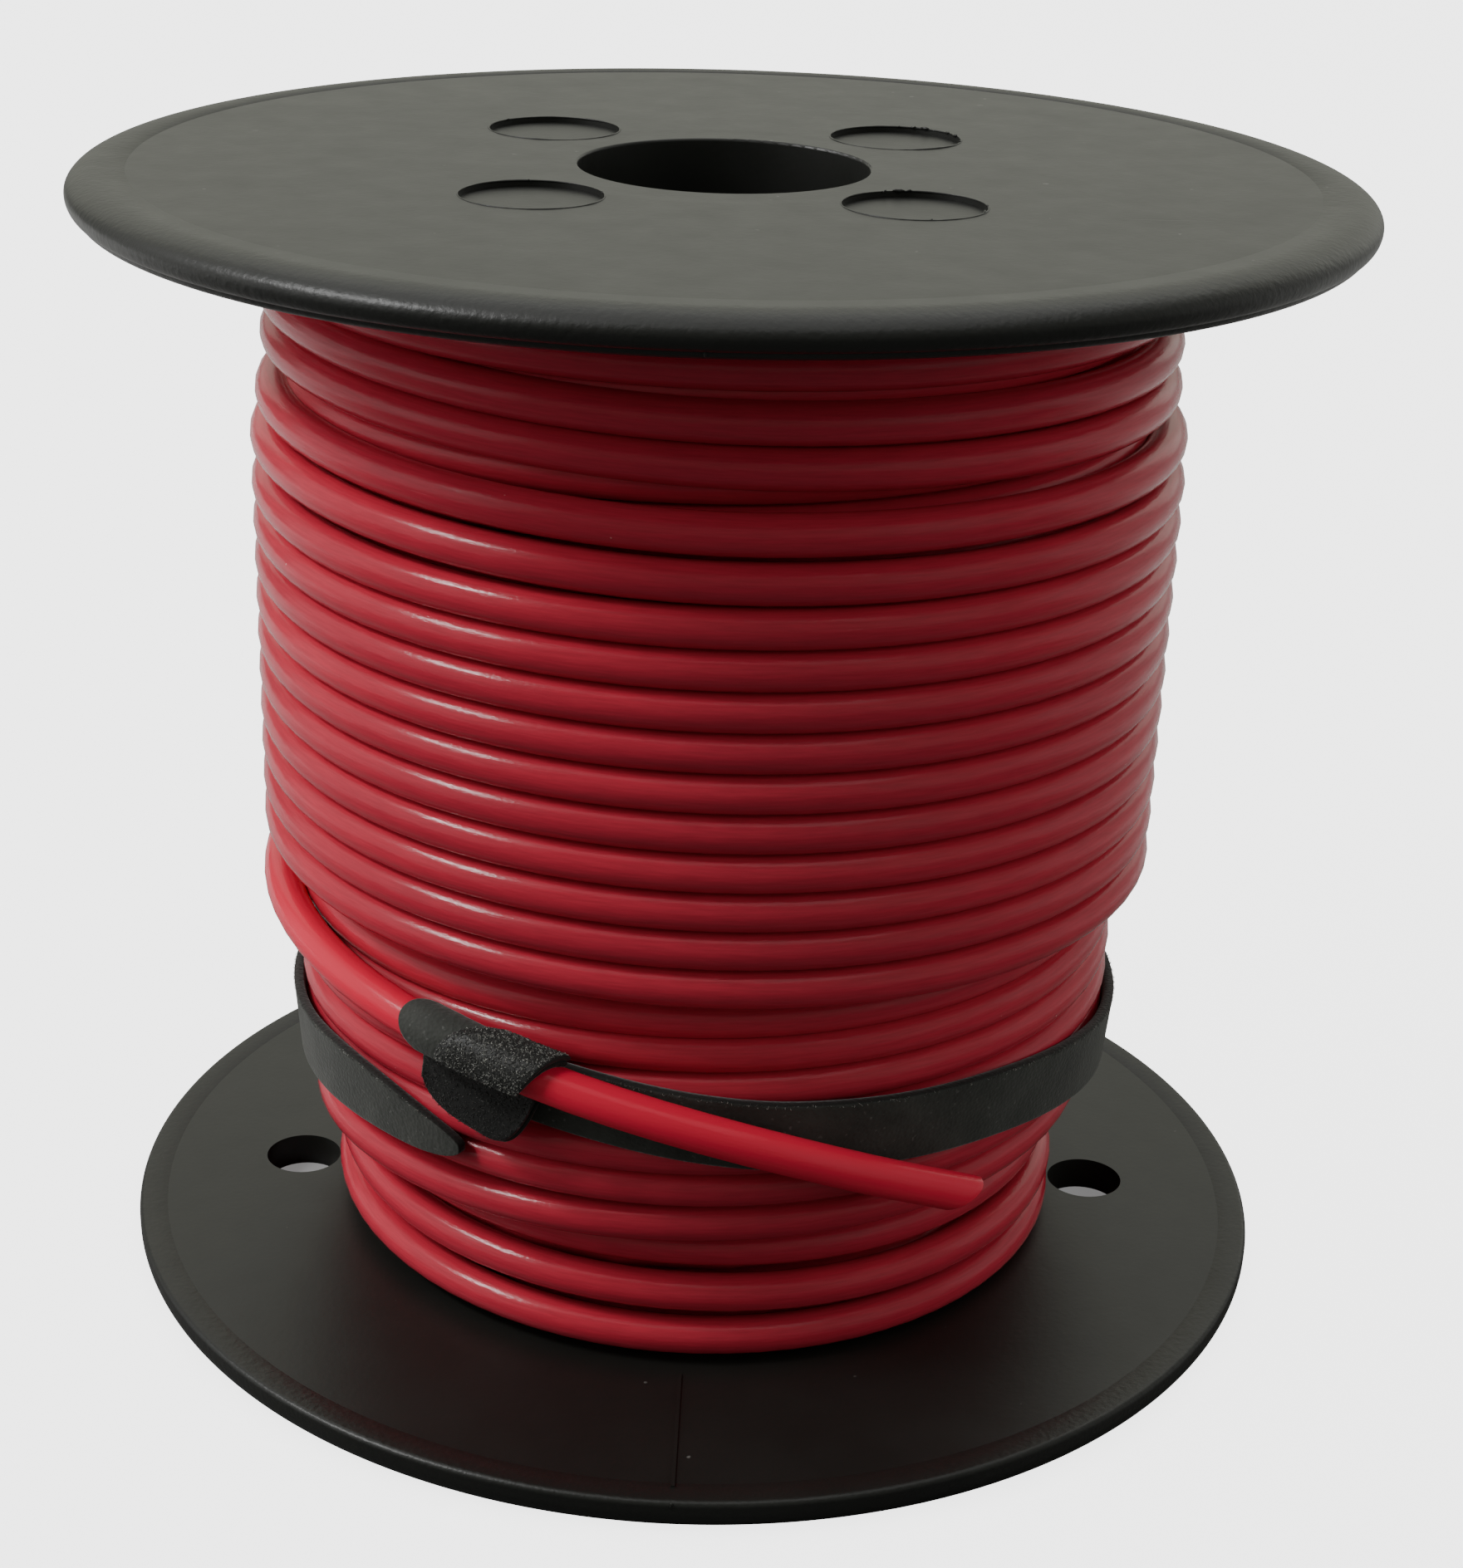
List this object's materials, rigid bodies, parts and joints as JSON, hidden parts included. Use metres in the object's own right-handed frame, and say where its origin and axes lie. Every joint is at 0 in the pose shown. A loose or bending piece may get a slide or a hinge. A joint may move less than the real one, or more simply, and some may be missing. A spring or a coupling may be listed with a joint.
{
  "type": "wire spool",
  "caption": "Flanged plastic spool wound with insulated electrical wire, its cut end tucked under a hook-and-loop tie around the winding; central arbor bore.",
  "frame": {"origin": "centre of the bore at the underside of the lower flange, which is the middle of the object's base", "axes": "+Z along the spool's axis towards the flange with the blind recesses; +X through one of the two holes in the lower flange; the wire's cut end is on the -Y side"},
  "size_m": [0.1016, 0.1016, 0.095],
  "materials": {
    "spool_plastic": "satin",
    "insulation": "satin",
    "copper": "satin",
    "hook_tape": "matte",
    "loop_tape": "matte"
  },
  "bodies": {
    "root": {"spool": "spool_plastic", "winding": "insulation", "lead": "insulation", "core_strand": "copper", "inner_strands": "copper", "outer_strands": "copper", "tie_strip": "hook_tape", "tie_keeper": "hook_tape", "tie_keeper_pad": "loop_tape", "tie_lower_pad": "loop_tape"}
  },
  "joints": []
}
